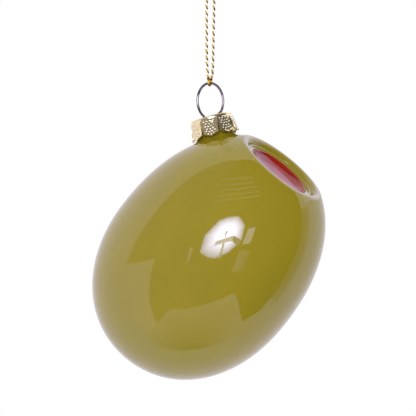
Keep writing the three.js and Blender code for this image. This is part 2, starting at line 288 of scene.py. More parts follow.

# %% [markdown]
# Cord foil. One ply is a thread wrapped in a narrow strip of gold foil. Its colour holds painted
# shade: a dark brown stretch painted at the lower end of each turn that shows, once in each lay,
# beside a lit gold stretch. The other ply is a white thread. The strip's turns show as fine bands
# across a ply, so the pattern follows the attributes that the cord's tree stores: the way along
# each ply, and which of the two it is. Near the wire the foil lies over the white thread too.

# %% Cord foil
FOIL_PITCH = 0.26 * MM
CORD_LAY = 2.15 * MM
PAINTED_SHADE_START = 0.11  # puts the painted shade at the lower end of each turn that shows
gold_foil, maker, place = finish("gold_foil")
along = maker.node("ShaderNodeAttribute", {"attribute_name": "along"}, out="Fac")
turn = (along / FOIL_PITCH) % 1.0
band = maker.step(turn, 0.0, 0.25) * (1 - maker.step(turn, 0.75, 1.0))
grime = maker.noise(place, 1800.0, 2.0)
lit_gold = maker.mix(band, colour(186, 144, 28), colour(250, 216, 74))
# painted shade: this darker copy of the gold stands for the shaded lower side of each turn
painted_shade_gold = maker.mix(band, colour(84, 54, 8), colour(132, 90, 20))
face = (along / CORD_LAY + PAINTED_SHADE_START) % 1.0
face = maker.step(face, 0.0, 0.06) * (1 - maker.step(face, 0.5, 0.56))
tint = maker.mix(face, lit_gold, painted_shade_gold)
tint = maker.mix(maker.step(grime, 0.5, 0.75) * 0.25, tint, colour(190, 152, 56))
second = maker.node("ShaderNodeAttribute", {"attribute_name": "second_ply"}, out="Fac")
up = maker.height(place)
second = second * maker.step(up, -32.4 * MM, -31 * MM)
pale = maker.mix(band, colour(242, 236, 220), colour(255, 253, 248))
tint = maker.mix(second, tint, pale)
bump = maker.bump(band, 0.7, 0.03 * MM)
gloss = 0.42 - band * 0.16
metal = 0.7 - second * 0.7
shade(maker, Base_Color=tint, Metallic=metal, Roughness=gloss, Normal=bump)
print("finish", gold_foil.name)

# %% [markdown]
# What repeats or follows a rule is made by Geometry Nodes. A tree is built once in the script,
# with named inputs, and a piece is what the tree gives for one starting mesh. The result is
# turned into a plain mesh at once, because an export drops whatever is still an instance.


# %% Grow a mesh through a tree
def new_tree(name, inputs):
    """An empty Geometry Nodes tree with named inputs, each a socket type and a start value."""
    tree = bpy.data.node_groups.new(name, "GeometryNodeTree")
    tree.interface.new_socket("Geometry", in_out="INPUT", socket_type="NodeSocketGeometry")
    for label, (kind, value) in inputs.items():
        socket = tree.interface.new_socket(label, in_out="INPUT", socket_type=kind)
        if value is not None:
            socket.default_value = value
    tree.interface.new_socket("Geometry", in_out="OUTPUT", socket_type="NodeSocketGeometry")
    maker = Maker(tree)
    given = maker.node("NodeGroupInput")
    return maker, {s.name: Wire(maker, s) for s in given.socket.node.outputs if s.name}


def end_tree(maker, geometry, material):
    whole = maker.node("GeometryNodeRealizeInstances", None, geometry)
    smooth = maker.node("GeometryNodeSetShadeSmooth", None, whole)
    dressed = maker.node("GeometryNodeSetMaterial", None, smooth, Material=material)
    maker.node("NodeGroupOutput", None, dressed)


def mesh_object(name, points, faces=(), edges=()):
    mesh = bpy.data.meshes.new(name)
    mesh.from_pydata([tuple(p) for p in points], list(edges), list(faces))
    return linked(name, mesh)


def chain(name, points):
    """A line of points as a mesh, for a tree to follow."""
    return mesh_object(name, points, edges=[(i, i + 1) for i in range(len(points) - 1)])


def plain_mesh(piece):
    """A copy of a piece's mesh with its modifiers applied."""
    bpy.context.view_layer.update()
    seen = piece.evaluated_get(bpy.context.evaluated_depsgraph_get())
    return bpy.data.meshes.new_from_object(seen)


def grown(start, maker, values=None):
    """The plain mesh that a tree makes from a starting object, which is then removed."""
    modifier = start.modifiers.new("tree", "NODES")
    modifier.node_group = maker.tree
    for item in maker.tree.interface.items_tree:
        if item.in_out == "INPUT" and item.name in (values or {}):
            modifier[item.identifier] = values[item.name]
    mesh = plain_mesh(start)
    name = start.name
    bpy.data.objects.remove(start)
    mesh.name = name
    return linked(name, mesh)


def joined(name, pieces):
    """Several meshes as one object."""
    whole = bmesh.new()
    slots = []
    for piece in pieces:
        first = len(whole.faces)
        whole.from_mesh(piece.data)
        whole.faces.ensure_lookup_table()
        for material in piece.data.materials:
            if material not in slots:
                slots.append(material)
        for face in whole.faces[first:]:
            used = piece.data.materials[face.material_index]
            face.material_index = slots.index(used)
    mesh = bpy.data.meshes.new(name)
    whole.to_mesh(mesh)
    whole.free()
    for material in slots:
        mesh.materials.append(material)
    for piece in pieces:
        bpy.data.objects.remove(piece)
    return linked(name, mesh)


def face_outwards(mesh):
    shape = bmesh.new()
    shape.from_mesh(mesh)
    bmesh.ops.recalc_face_normals(shape, faces=shape.faces)
    shape.to_mesh(mesh)
    shape.free()


def dress(piece, body, slot, *nodes):
    """Puts a finished piece on its CAD body, in place of its CAD nodes."""
    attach(piece, body)
    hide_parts(*nodes)
    print("piece", piece.name, "faces", len(piece.data.polygons))


# %% [markdown]
# Cord and wire are given as a few points, as the CAD has them. A centripetal spline through
# them makes the smooth line that the wire and the cord's plies follow.


# %% A smooth line through points
def smooth_line(points, steps):
    """Points on the centripetal spline through the given ones, steps to each stretch."""
    ends = [2 * points[0] - points[1], *points, 2 * points[-1] - points[-2]]
    line = []
    for a, b, c, d in zip(ends, ends[1:], ends[2:], ends[3:]):
        ab, bc, cd = [(q - p).length ** 0.5 for p, q in ((a, b), (b, c), (c, d))]
        start = ((b - a) / ab - (c - a) / (ab + bc) + (c - b) / bc) * bc
        end = ((c - b) / bc - (d - b) / (bc + cd) + (d - c) / cd) * bc
        for i in range(steps):
            t = i / steps
            line.append(
                b * (2 * t**3 - 3 * t**2 + 1)
                + start * (t**3 - 2 * t**2 + t)
                + c * (3 * t**2 - 2 * t**3)
                + end * (t**3 - t**2)
            )
    return [*line, points[-1].copy()]


def line_length(points):
    return sum((b - a).length for a, b in zip(points, points[1:]))


# %% [markdown]
# The cord. A two-ply twist is two threads laid round each other, so the tree makes each ply by
# moving the cord's own line out to a helix and sweeping a small circle along it. The helix turns
# the way that the gold bands slope in the photograph, and one lay is the height of one band and
# one gap.

# %% Tree for a two-ply twist
twist, given = new_tree(
    "two_ply_twist",
    {
        "Lay length": ("NodeSocketFloat", CORD_LAY),
        "Ply offset": ("NodeSocketFloat", 0.26 * MM),
        "Ply radius": ("NodeSocketFloat", 0.25 * MM),
        "Phase": ("NodeSocketFloat", 0.0),
        "Step": ("NodeSocketFloat", 0.11 * MM),
    },
)
line = twist.node("GeometryNodeMeshToCurve", None, given["Geometry"])
line = twist.node("GeometryNodeResampleCurve", {"mode": "LENGTH"}, line, Length=given["Step"])
travelled = twist.node("GeometryNodeSplineParameter", out="Length")
normal = twist.node("GeometryNodeInputNormal")
tangent = twist.node("GeometryNodeInputTangent")
across = twist.node("ShaderNodeVectorMath", {"operation": "CROSS_PRODUCT"}, tangent, normal)
plies = twist.node("GeometryNodeJoinGeometry")
for second_ply, phase in ((0.0, 0), (1.0, math.pi)):
    angle = travelled / given["Lay length"] * (-2 * math.pi) + given["Phase"] + phase
    parts = []
    for axis, wave in ((normal, "COSINE"), (across, "SINE")):
        reach = angle.math(wave, angle) * given["Ply offset"]
        scaled = twist.node("ShaderNodeVectorMath", {"operation": "SCALE"}, axis)
        twist.tree.links.new(reach.socket, scaled.socket.node.inputs["Scale"])
        parts.append(scaled)
    offset = twist.node("ShaderNodeVectorMath", {"operation": "ADD"}, *parts)
    marked = line
    for name, value in (("along", travelled), ("second_ply", second_ply)):
        marked = twist.node(
            "GeometryNodeStoreNamedAttribute",
            {"data_type": "FLOAT", "domain": "POINT"},
            marked,
            Name=name,
            Value=value,
        )
    ply = twist.node("GeometryNodeSetPosition", None, marked, Offset=offset)
    ring = twist.node("GeometryNodeCurvePrimitiveCircle", None, Resolution=10)
    twist.tree.links.new(given["Ply radius"].socket, ring.socket.node.inputs["Radius"])
    swept = twist.node("GeometryNodeCurveToMesh", None, ply, ring)
    swept.socket.node.inputs["Fill Caps"].default_value = True
    twist.tree.links.new(swept.socket, plies.socket.node.inputs[0])
end_tree(twist, plies, gold_foil)
print("tree", twist.tree.name, "nodes", len(twist.tree.nodes))

# %% [markdown]
# The cord's line is the CAD's route, point for point: how far each point lies to the right and
# to the front as the ring faces, and its height. The ends meet in the knot at the origin, and
# the middle passes under the ring's wire. The photograph shows 28 mm of the loop, and the rest,
# with the knot, is what such a loop has.

# %% Cord
cord_frame = Matrix(
    ((0.92816, -0.37217, 0, 0), (0.37217, 0.92816, 0, 0), (0, 0, 1, 0), (0, 0, 0, 1))
)
BIGHT = 1.9
BIGHT_LOW = -34.75
BIGHT_PHASE = 3.54  # lays the two plies side by side under the wire
BIGHT_MIDDLE = BIGHT_LOW + BIGHT
BIGHT_SIDE = BIGHT * math.sqrt(0.5)
cord_route = [
    (-0.75, 0.3, 0),
    (-0.9, 0.45, -2.5),
    (-1.04, 0.7, -6),
    (-1.08, 0.95, -11),
    (-1.06, 1.2, -16),
    (-1.04, 1.45, -21),
    (-1, 1.65, -25.5),
    (-0.85, 1.8, -29),
    (-0.62, 1.9, -31.5),
    (-0.4, BIGHT, BIGHT_MIDDLE),
    (-0.22, BIGHT_SIDE, BIGHT_MIDDLE - BIGHT_SIDE),
    (0, 0, BIGHT_LOW),
    (0.22, -BIGHT_SIDE, BIGHT_MIDDLE - BIGHT_SIDE),
    (0.45, -BIGHT, BIGHT_MIDDLE),
    (0.75, -1.9, -31.5),
    (0.98, -1.8, -29),
    (1.08, -1.65, -25.5),
    (1.16, -1.45, -21),
    (1.27, -1.2, -16),
    (1.38, -0.95, -11),
    (1.42, -0.7, -6),
    (1.15, -0.45, -2.5),
    (0.8, -0.3, 0),
]
cord_points = [cord_frame @ (Vector((r, -f, u)) * MM) for r, f, u in cord_route]
cord_line = smooth_line(cord_points, 8)
cord = grown(chain("hanging_cord", cord_line), twist, {"Phase": BIGHT_PHASE})
print("cord length", round(line_length(cord_line), 4))

# %% [markdown]
# The knot. The loop's two ends are tied together in one overhand knot: the pair runs up through
# the middle, turns out over the top, winds down round itself and tucks back up through the
# middle. It is made as the cord is, from two lines side by side, and the tails are their ends.
# The top of the picture cuts the loop off below the knot, so its form is what such a knot has.

# %% Knot
# each pair is a point of the path and how far the two strands lie from it, one to each side
KNOT_RADIUS = 1.3
WIND_STEPS, WIND_START, WIND_TURN = 13, 20, 520
WIND_TOP, WIND_DROP = 3.45, 2.25
knot_path = [
    ((0, 0, 0.1), (0.75, 0.3, 0)),
    ((0, 0, 1.2), (0.46, 0.1, 0)),
    ((0.05, 0, 2.4), (0.45, 0, 0)),
    ((0.1, 0.1, 3.6), (0.45, 0, 0.05)),
    ((0.7, 0.25, 4.15), (0.3, 0.1, 0.3)),
]
for i in range(WIND_STEPS + 1):
    share = i / WIND_STEPS
    angle = math.radians(WIND_START + WIND_TURN * share)
    out = KNOT_RADIUS * (1 + 0.08 * math.sin(2 * angle))
    wind = (out * math.cos(angle), out * math.sin(angle), WIND_TOP - WIND_DROP * share)
    knot_path.append((wind, (0.1, 0, 0.44)))
knot_path += [
    ((-0.75, 0.1, 0.85), (0.2, 0.2, 0.36)),
    ((-0.2, -0.15, 1.4), (0.2, 0.42, 0.1)),
    ((-0.05, -0.1, 2.6), (0.1, 0.45, 0)),
    ((0, 0, 4.2), (0.2, 0.42, 0)),
]
tails = [
    [(-0.5, -0.55, 5.3), (-1.4, -0.95, 7), (-2.3, -1.1, 8.6), (-3.4, -0.9, 10.0)],
    [(0.55, 0.5, 5.1), (1.5, 0.8, 6.2), (2.7, 1.0, 7.4), (3.8, 0.9, 8.5)],
]
strands = []
for side, tail in zip((-1, 1), tails):
    points = [Vector(p) + side * Vector(o) for p, o in knot_path] + [Vector(p) for p in tail]
    points = [cord_frame @ (p * MM) for p in points]
    strands.append(grown(chain(f"strand_{side}", smooth_line(points, 6)), twist))
knot = joined("cord_end_knot", strands)
dress(knot, "cord", "gold_cord", "cord_knot")

dress(cord, "cord", "gold_cord", "cord")
line_length(cord_line)

# %% [markdown]
# The olive. Blown glass is round about its long axis, so its body is a lathe form: one profile
# turned through a full circle. Blender has a Screw modifier for that, but a small tree does the
# same with the steps as an input, and serves the body and the inlay alike. It lays a grid with
# one row for each point of the profile and wraps it round the axis.

# %% Tree for a turned form
lathe, given = new_tree("turned_form", {"Steps": ("NodeSocketInt", 256)})
rows = lathe.node("GeometryNodeAttributeDomainSize", None, given["Geometry"], out="Point Count")
columns = given["Steps"] + 1
grid = lathe.node("GeometryNodeMeshGrid", None, 1.0, 1.0, columns, rows)
index = lathe.node("GeometryNodeInputIndex")
row = index % rows
turned = (index - row) / rows / given["Steps"] * (2 * math.pi)
position = lathe.node("GeometryNodeInputPosition")
sample = {"data_type": "FLOAT_VECTOR", "domain": "POINT"}
profile_point = lathe.node(
    "GeometryNodeSampleIndex", sample, given["Geometry"], position, Index=row
)
split = lathe.node("ShaderNodeSeparateXYZ", None, profile_point, out="X")
radius, height = split, lathe.other(split, "Y")
around = [radius * turned.math(wave, turned) for wave in ("COSINE", "SINE")]
wrapped = lathe.node("ShaderNodeCombineXYZ", None, around[0], height, around[1])
shell = lathe.node("GeometryNodeSetPosition", None, grid, Position=wrapped)
shell = lathe.node("GeometryNodeMergeByDistance", None, shell, Distance=0.001 * MM)
end_tree(lathe, shell, None)
print("tree", lathe.tree.name, "nodes", len(lathe.tree.nodes))


# %% [markdown]
# Profiles are drawn upright at the origin, in millimetres. A piece is turned there and its mesh
# is then moved by the same matrix that the CAD's group has, so the object itself stays unturned.


# %% Turn a profile and place it
def turned_piece(name, profile, steps, place, material):
    """A closed turned solid from points of radius and height in millimetres."""
    points = [Vector((r, h, 0)) * MM for r, h in profile]
    made = grown(chain(name, points), lathe, {"Steps": steps})
    made.data.transform(place)
    face_outwards(made.data)
    made.data.materials.clear()
    made.data.materials.append(material)
    return made


def placed(x_axis, y_axis, z_axis, origin):
    """A matrix from three axes and an origin in millimetres, as the CAD's groups lie."""
    rows = [(*xyz, o * MM) for *xyz, o in zip(x_axis, y_axis, z_axis, origin)]
    return Matrix((*rows, (0, 0, 0, 1)))


olive_frame = placed(
    (-0.75215, -0.01091, 0.65890),
    (0.65899, -0.01263, 0.75205),
    (0.00012, 0.99986, 0.01669),
    (-1.87844, 0.06048, -94.49576),
)
cap_frame = placed(
    (0.89756, 0.35392, 0.26291),
    (-0.27525, -0.01601, 0.96124),
    (0.34441, -0.93514, 0.08305),
    (2.63032, -0.64622, -52.18473),
)
print("olive tilt", [round(x, 3) for x in olive_frame.col[1][:3]])

# %% [markdown]
# The olive's profile repeats the CAD's rule: a fuller oval at each end, cut short at the nose by
# a rounded lip that rolls into the dimple, and a narrow ledge round the inlay's seat. It has many
# more points than the CAD's, because a mirror-like gloss shows every facet.

# %% Olive body
OLIVE_RADIUS = 34
TAIL_LENGTH, TAIL_FULLNESS = 41.9, 2.13
NOSE_REACH, NOSE_FULLNESS = 47.5, 2.17
LIP_ROUND, LIP_INNER_ROUND, LIP_CREST = 2.7, 2.1, 15.3
LIP_END = math.radians(162)
INLAY_RADIUS, INLAY_DROP, INLAY_HEIGHT = 11.1, 1.75, 3.65
LEDGE_FOOT_RADIUS, LEDGE_END_RADIUS, LEDGE_STEPS = 13.15, 12.3, 8
GAP = 0.05


def olive_skin(turn):
    """A point of the skin and its outward normal, as radius and length along the axis."""
    half, power = (TAIL_LENGTH, TAIL_FULLNESS) if turn < 0 else (NOSE_REACH, NOSE_FULLNESS)
    ahead = math.sin(turn)
    point = Vector(
        (
            OLIVE_RADIUS * max(math.cos(turn), 0) ** (2 / power),
            math.copysign(half * abs(ahead) ** (2 / power), ahead),
        )
    )
    normal = Vector(
        (
            point.x ** (power - 1) / OLIVE_RADIUS**power,
            math.copysign(abs(point.y) ** (power - 1) / half**power, ahead),
        )
    )
    return point, normal.normalized()


low, high = 0, math.pi / 2
for _ in range(50):
    nose_end = (low + high) / 2
    point, normal = olive_skin(nose_end)
    low, high = (nose_end, high) if point.x - LIP_ROUND * normal.x > LIP_CREST else (low, nose_end)
point, normal = olive_skin(nose_end)
lip_middle = point - normal * LIP_ROUND
lip_start = math.atan2(normal.y, normal.x)
inlay_edge = lip_middle.y + LIP_ROUND - INLAY_DROP

TAIL_ROWS, NOSE_ROWS, LIP_ROWS = 96, 72, 20
olive_profile = [olive_skin(math.pi / 2 * (i / TAIL_ROWS - 1))[0] for i in range(TAIL_ROWS)]
olive_profile += [olive_skin(nose_end * i / NOSE_ROWS)[0] for i in range(NOSE_ROWS + 1)]
lip_crest = lip_middle.y + LIP_ROUND
inner_middle = Vector((lip_middle.x, lip_crest - LIP_INNER_ROUND))
lip_rounds = [(lip_middle, LIP_ROUND, lip_start, math.pi / 2)]
lip_rounds += [(inner_middle, LIP_INNER_ROUND, math.pi / 2, LIP_END)]
for middle, radius, start, end in lip_rounds:
    for i in range(1, LIP_ROWS + 1):
        angle = start + (end - start) * i / LIP_ROWS
        olive_profile.append(middle + radius * Vector((math.cos(angle), math.sin(angle))))
ledge_start, ledge_foot = olive_profile[-1], Vector((LEDGE_FOOT_RADIUS, inlay_edge - 0.06))
ledge_end = Vector((LEDGE_END_RADIUS, inlay_edge - 0.04))
for i in range(1, LEDGE_STEPS + 1):
    share = i / LEDGE_STEPS
    olive_profile.append(
        ledge_start.lerp(ledge_foot, share).lerp(ledge_foot.lerp(ledge_end, share), share)
    )
seat_edge = INLAY_RADIUS + GAP
floor_height = inlay_edge - INLAY_HEIGHT - GAP
olive_profile += [Vector((seat_edge + 0.1, inlay_edge)), Vector((seat_edge, inlay_edge - 0.1))]
olive_profile += [Vector((seat_edge, floor_height)), Vector((0, floor_height))]
olive_body = turned_piece("olive_body", olive_profile, 256, olive_frame, olive_lacquer)
print("olive profile", len(olive_profile), "points, lip crest at", round(inlay_edge + INLAY_DROP, 2))

# %% [markdown]
# The neck. Hot glass is drawn out of the bubble, so the neck's foot flows into the shoulder with
# no edge. Its rings start on the olive's skin, found by a search along the neck's axis, and rise
# on a quarter oval to the straight tube. The mouth is rounded, and the bore goes down inside.

# %% Neck
NECK_RADIUS, NECK_BORE, NECK_TOP = 5.7, 4.6, 6.25
FLARE_RADIUS, FLARE_RISE = 8.4, 2.2
NECK_SIDES, FLARE_ROWS = 128, 24
SUNK = 0.02  # how far the foot's outer edge lies under the skin
SKIN_SEARCH, HALVINGS = (-12.0, 6.0), 34
to_olive = olive_frame.inverted() @ cap_frame


def above_skin(point):
    """Above 0 outside the olive's skin, for a point of the neck's frame in millimetres."""
    p = to_olive @ (point * MM) / MM
    half, power = (TAIL_LENGTH, TAIL_FULLNESS) if p.y < 0 else (NOSE_REACH, NOSE_FULLNESS)
    across = math.hypot(p.x, p.z) / OLIVE_RADIUS
    return across**power + (abs(p.y) / half) ** power - 1


def skin_height(x, z):
    """How high along the neck's axis the skin lies."""
    low, high = SKIN_SEARCH
    for _ in range(HALVINGS):
        middle = (low + high) / 2
        low, high = (middle, high) if above_skin(Vector((x, middle, z))) < 0 else (low, middle)
    return (low + high) / 2


neck_rings = []
for i in range(FLARE_ROWS + 1):
    rise = math.pi / 2 * i / FLARE_ROWS
    radius = NECK_RADIUS + (FLARE_RADIUS - NECK_RADIUS) * (1 - math.sin(rise))
    kept = math.cos(rise) ** 2 * (3 - 2 * math.cos(rise) ** 2)
    ring = []
    for k in range(NECK_SIDES):
        turn = 2 * math.pi * k / NECK_SIDES
        x, z = radius * math.cos(turn), radius * math.sin(turn)
        height = skin_height(x, z) * kept + FLARE_RISE * (1 - math.cos(rise)) - SUNK
        ring.append(Vector((x, height, z)))
    neck_rings.append(ring)


def neck_ring(radius, height):
    turns = [2 * math.pi * k / NECK_SIDES for k in range(NECK_SIDES)]
    return [Vector((radius * math.cos(t), height, radius * math.sin(t))) for t in turns]


mouth = (NECK_RADIUS - NECK_BORE) / 2
neck_rings.append(neck_ring(NECK_RADIUS, NECK_TOP - mouth))
for i in range(1, 8):
    angle = math.pi * i / 8
    neck_rings.append(
        neck_ring(
            NECK_BORE + mouth + mouth * math.cos(angle), NECK_TOP - mouth + mouth * math.sin(angle)
        )
    )
neck_rings += [neck_ring(NECK_BORE, NECK_TOP - mouth), neck_ring(NECK_BORE, 0)]
neck_rings += [neck_ring(NECK_BORE, -3), neck_ring(FLARE_RADIUS - 1, -3.5)]


def ringed_piece(name, rings, place, material):
    """A closed skin over a loop of rings, the last joined to the first."""
    sides = len(rings[0])
    points = [place @ (p * MM) for ring in rings for p in ring]
    faces = []
    for i in range(len(rings)):
        a, b = i * sides, (i + 1) % len(rings) * sides
        for k in range(sides):
            n = (k + 1) % sides
            faces.append((a + k, a + n, b + n, b + k))
    made = mesh_object(name, points, faces)
    face_outwards(made.data)
    made.data.shade_smooth()
    made.data.materials.append(material)
    return made


olive_neck = ringed_piece("olive_neck", neck_rings, cap_frame, olive_lacquer)
glass_olive = joined("glass_olive", [olive_body, olive_neck])
glass_olive.data.set_sharp_from_angle(angle=math.radians(40))
dress(glass_olive, "glass", "green_glass", "glass_body", "glass_neck")

# %% [markdown]
# The inlay. It is a red dish with a rounded rim, and sits in the seat inside the ledge. Its steep
# side faces the camera and shows its own red. Its floor is seen almost edge on, so it mirrors
# the white behind the ornament and looks pink.

# %% Pimento inlay
dish = [(11.1, -0.3), (10.75, 0), (10.5, -0.14), (10.2, -0.6), (9.6, -1.07), (8.8, -1.52)]
dish += [(7.9, -1.93), (6.3, -2.29), (3.2, -2.72), (0, -2.85)]
dish_line = smooth_line([Vector((r, inlay_edge + h, 0)) for r, h in dish], 8)
underside = floor_height + GAP
inlay_profile = [Vector((0, underside)), Vector((INLAY_RADIUS, underside))]
inlay_profile += [p.xy for p in dish_line]
inlay = turned_piece("pimento_dish", inlay_profile, 192, olive_frame, pimento_lacquer)
inlay.data.set_sharp_from_angle(angle=math.radians(40))
dress(inlay, "glass", "red_inlay", "pimento_inlay")

# %% [markdown]
# The cap. A crown cap is stamped from a disc of thin sheet: its top is flat with two holes for
# the wire, and eight petals hang from a rounded edge, each with a raised border and a field of
# raised dots. One petal is a grid that carries its own eighth of the top.

# %% One petal of the cap
PETALS = 8
PETAL_TURN = math.radians(13)
CAP_TOP, CAP_FOOT, CAP_TOP_RADIUS, CAP_SKIRT_RADIUS = 6.9, 0.2, 7.1, 7.9
CAP_EDGE, CAP_SHEET = 0.6, 0.3
SLIT_TOP, SLIT_HALF, SLIT_TOP_HALF = 4.4, 0.45, 0.1
TIP_DROP = 0.9
HALF_PETAL = math.pi / PETALS
FACET = 0.4  # 0 is a round skirt, 1 is flat petals
BORDER_RISE, BORDER_WIDTH = 0.1, 0.3
GROOVE_DEPTH, GROOVE_DROP, GROOVE_WIDTH = 0.2, 0.06, 0.04


def skirt_radius(height):
    """The skirt's outer radius, which widens under the edge and flicks out at the foot."""
    drop = max(0, (CAP_TOP - CAP_EDGE - height) / (CAP_TOP - CAP_EDGE - CAP_FOOT))
    groove = GROOVE_DEPTH * math.exp(-(((drop - GROOVE_DROP) / GROOVE_WIDTH) ** 2))
    flick = 0.35 * drop**5
    return CAP_TOP_RADIUS + (CAP_SKIRT_RADIUS - CAP_TOP_RADIUS) * drop**0.6 + flick - groove


def petal_foot(across):
    """The height of a petal's lower edge, from its middle, 0, to its side, 1."""
    return CAP_FOOT + TIP_DROP * max(0, (across - 0.12) / 0.88) ** 0.85


def petal_point(across, down):
    """A point of the petal: across from -1 to 1, and down from 0 at the edge to 1 at the tip."""
    foot = petal_foot(abs(across))
    height = CAP_TOP - CAP_EDGE + (foot - CAP_TOP + CAP_EDGE) * down
    radius = skirt_radius(height)
    slit = 0
    if height < SLIT_TOP:
        share = (SLIT_TOP - height) / (SLIT_TOP - CAP_FOOT - TIP_DROP)
        slit = (SLIT_TOP_HALF + (SLIT_HALF - SLIT_TOP_HALF) * min(share, 1)) / radius
    turn = across * (HALF_PETAL - slit)
    flat = math.cos(HALF_PETAL * 0.9) / math.cos(turn)
    radius *= 1 + FACET * min(1, down * 3) * (flat - 1)
    if height < CAP_TOP - CAP_EDGE - 0.4:
        side = (1 - abs(across)) * radius * HALF_PETAL
        radius += BORDER_RISE * math.exp(-((min(side, height - foot) / BORDER_WIDTH) ** 2))
    return Vector((radius * math.sin(turn), height, radius * math.cos(turn)))


PETAL_COLUMNS, PETAL_ROWS, TOP_ROWS, EDGE_ROWS = 28, 34, 6, 8
petal_rows = []
for i in range(TOP_ROWS):
    share = i / TOP_ROWS
    petal_rows.append([((CAP_TOP_RADIUS - CAP_EDGE) * share, CAP_TOP)] * (PETAL_COLUMNS + 1))
for i in range(EDGE_ROWS):
    angle = math.pi / 2 * i / EDGE_ROWS
    radius = CAP_TOP_RADIUS - CAP_EDGE * (1 - math.sin(angle))
    height = CAP_TOP - CAP_EDGE * (1 - math.cos(angle))
    petal_rows.append([(radius, height)] * (PETAL_COLUMNS + 1))
points = []
for row_points in petal_rows:
    for k, (radius, height) in enumerate(row_points):
        turn = HALF_PETAL * (2 * k / PETAL_COLUMNS - 1)
        points.append(Vector((radius * math.sin(turn), height, radius * math.cos(turn))))
for i in range(PETAL_ROWS + 1):
    for k in range(PETAL_COLUMNS + 1):
        points.append(petal_point(2 * k / PETAL_COLUMNS - 1, i / PETAL_ROWS))
width = PETAL_COLUMNS + 1
faces = []
for i in range(len(points) // width - 1):
    for k in range(PETAL_COLUMNS):
        a = i * width + k
        faces.append((a, a + width, a + width + 1, a + 1))
petal = mesh_object("crown_cap", [p * MM for p in points], faces)
print("petal", len(points), "points")

# %% [markdown]
# The petals are alike, so only one is drawn. A tree sets it eight times round the neck and welds
# the eighths together, and later does the same with one petal's dots.

# %% Tree that turns a shape round the neck
crown, given = new_tree(
    "round_the_neck",
    {
        "Count": ("NodeSocketInt", PETALS),
        "First turn": ("NodeSocketFloat", PETAL_TURN + HALF_PETAL),
        "Material": ("NodeSocketMaterial", None),
    },
)
spots = crown.node("GeometryNodePoints", None, Count=given["Count"])
index = crown.node("GeometryNodeInputIndex")
turn = index * (2 * math.pi) / given["Count"] + given["First turn"]
spin = crown.node("ShaderNodeCombineXYZ", None, 0.0, turn, 0.0)
ring = crown.node(
    "GeometryNodeInstanceOnPoints", None, spots, Instance=given["Geometry"], Rotation=spin
)
whole = crown.node("GeometryNodeRealizeInstances", None, ring)
welded = crown.node("GeometryNodeMergeByDistance", None, whole, Distance=0.002 * MM)
end_tree(crown, welded, given["Material"])
print("tree", crown.tree.name)

# %% [markdown]
# The sheet's thickness comes from a Solidify modifier, inwards, and a Boolean modifier cuts the
# two holes for the wire through the top, as a punch does.


# %% Cap sheet
def applied(piece, name, kind, **settings):
    """Adds a modifier and applies it, so that the piece is a plain mesh again."""
    modifier = piece.modifiers.new(name, kind)
    for key, value in settings.items():
        setattr(modifier, key, value)
    mesh = plain_mesh(piece)
    piece.modifiers.clear()
    piece.data = mesh


crown_cap = grown(petal, crown, {"Material": cap_metal})
face_outwards(crown_cap.data)
top = max(crown_cap.data.polygons, key=lambda f: f.center.y)
if top.normal.y < 0:
    crown_cap.data.flip_normals()
applied(crown_cap, "sheet", "SOLIDIFY", thickness=CAP_SHEET * MM, offset=-1)

WIRE_HOLE, LEG_SPACING = 0.95, 3.8
for side in (-1, 1):
    punch = bmesh.new()
    bmesh.ops.create_cone(
        punch,
        cap_ends=True,
        segments=40,
        radius1=WIRE_HOLE * MM,
        radius2=WIRE_HOLE * MM,
        depth=2 * MM,
        matrix=Matrix.Translation(Vector((side * LEG_SPACING / 2, CAP_TOP, 0)) * MM)
        @ Matrix.Rotation(math.pi / 2, 4, "X"),
    )
    punch_mesh = bpy.data.meshes.new("punch")
    punch.to_mesh(punch_mesh)
    punch.free()
    punch_object = linked("punch", punch_mesh)
    applied(crown_cap, "hole", "BOOLEAN", operation="DIFFERENCE", object=punch_object)
    bpy.data.objects.remove(punch_object)
print("cap sheet", len(crown_cap.data.polygons), "faces")

# %% [markdown]
# The dots are stamped out from inside, so each is a low dome on the skirt. A tree sets one dome
# on each point of a staggered field and turns it to face out.

# %% Cap dots
DOT_RADIUS, DOT_RISE = 0.33, 0.17
DOT_ROWS, DOT_TOP, DOT_DROP, DOT_STEP = 6, 5.2, 0.9, 1.16
dot_rows = []
for i in range(DOT_ROWS):
    height = DOT_TOP - DOT_DROP * i
    reach = 1.5 if i % 2 == 0 else 1.0
    dot_rows += [(height, DOT_STEP * (k - reach)) for k in range(int(2 * reach) + 1)]
dots, outward = [], []
for height, aside in dot_rows:
    down = (CAP_TOP - CAP_EDGE - height) / (CAP_TOP - CAP_EDGE - CAP_FOOT)
    across = aside / (skirt_radius(height) * HALF_PETAL)
    spot = petal_point(across, down)
    beside = petal_point(across + 0.02, down) - spot
    below = petal_point(across, down + 0.01) - spot
    dots.append(spot * MM)
    outward.append(below.cross(beside).normalized())
dot_field = mesh_object("cap_dots", dots)
attribute = dot_field.data.attributes.new("outward", "FLOAT_VECTOR", "POINT")
attribute.data.foreach_set("vector", [x for v in outward for x in v])

studded, given = new_tree("dots_on_a_petal", {"Radius": ("NodeSocketFloat", DOT_RADIUS * MM)})
facing = studded.node(
    "GeometryNodeInputNamedAttribute", {"data_type": "FLOAT_VECTOR"}, "outward"
)
upright = studded.node("FunctionNodeAlignRotationToVector", {"axis": "Z"}, Vector=facing)
dome = studded.node("GeometryNodeMeshUVSphere", None, 14, 8, given["Radius"])
flat = (1.0, 1.0, DOT_RISE / DOT_RADIUS)
field = studded.node(
    "GeometryNodeInstanceOnPoints",
    None,
    given["Geometry"],
    Instance=dome,
    Rotation=upright,
    Scale=flat,
)
end_tree(studded, field, dot_painted_highlight)
petal_dots = grown(dot_field, studded)
cap_dots = grown(petal_dots, crown, {"Material": dot_painted_highlight})
cap = joined("petal_cap", [crown_cap, cap_dots])
cap.data.transform(cap_frame)
cap.data.set_sharp_from_angle(angle=math.radians(45))
dress(cap, "cap", "cap_metal", "cap")

